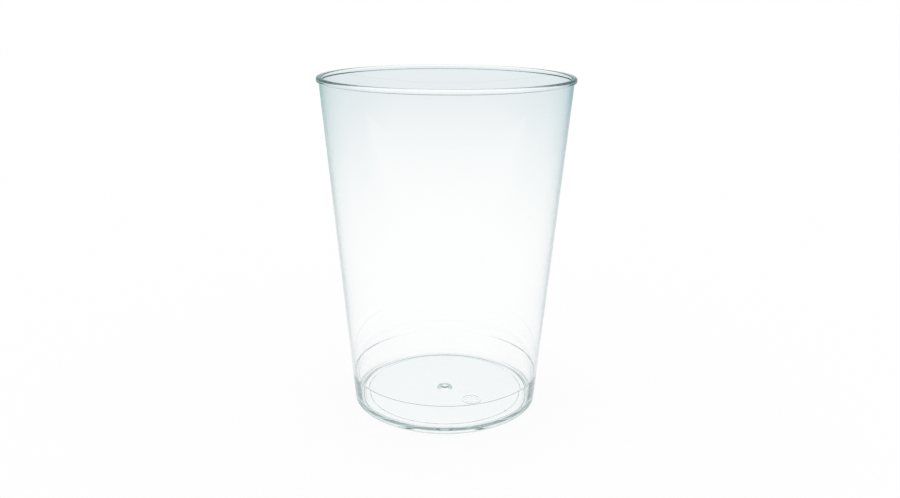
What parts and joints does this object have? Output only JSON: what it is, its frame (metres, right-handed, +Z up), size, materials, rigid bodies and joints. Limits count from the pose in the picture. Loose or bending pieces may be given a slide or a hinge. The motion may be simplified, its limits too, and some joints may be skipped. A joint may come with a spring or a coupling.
{
  "type": "reusable tumbler",
  "caption": "Clear hard-plastic drinking tumbler: a tapered round cup with a small lip along the rim, a sloped stacking ledge inside, and a thin floor on a low foot ring.",
  "frame": {"origin": "centre of the base, on the plane that the foot ring stands on", "axes": "+Z up along the cup's axis; the cup is round, so X and Y are free"},
  "size_m": [0.078, 0.078, 0.1045],
  "materials": {
    "clear_plastic": "clear, polished, with a faint blue-green tint"
  },
  "bodies": {
    "root": {"tumbler": "clear_plastic"}
  },
  "joints": []
}
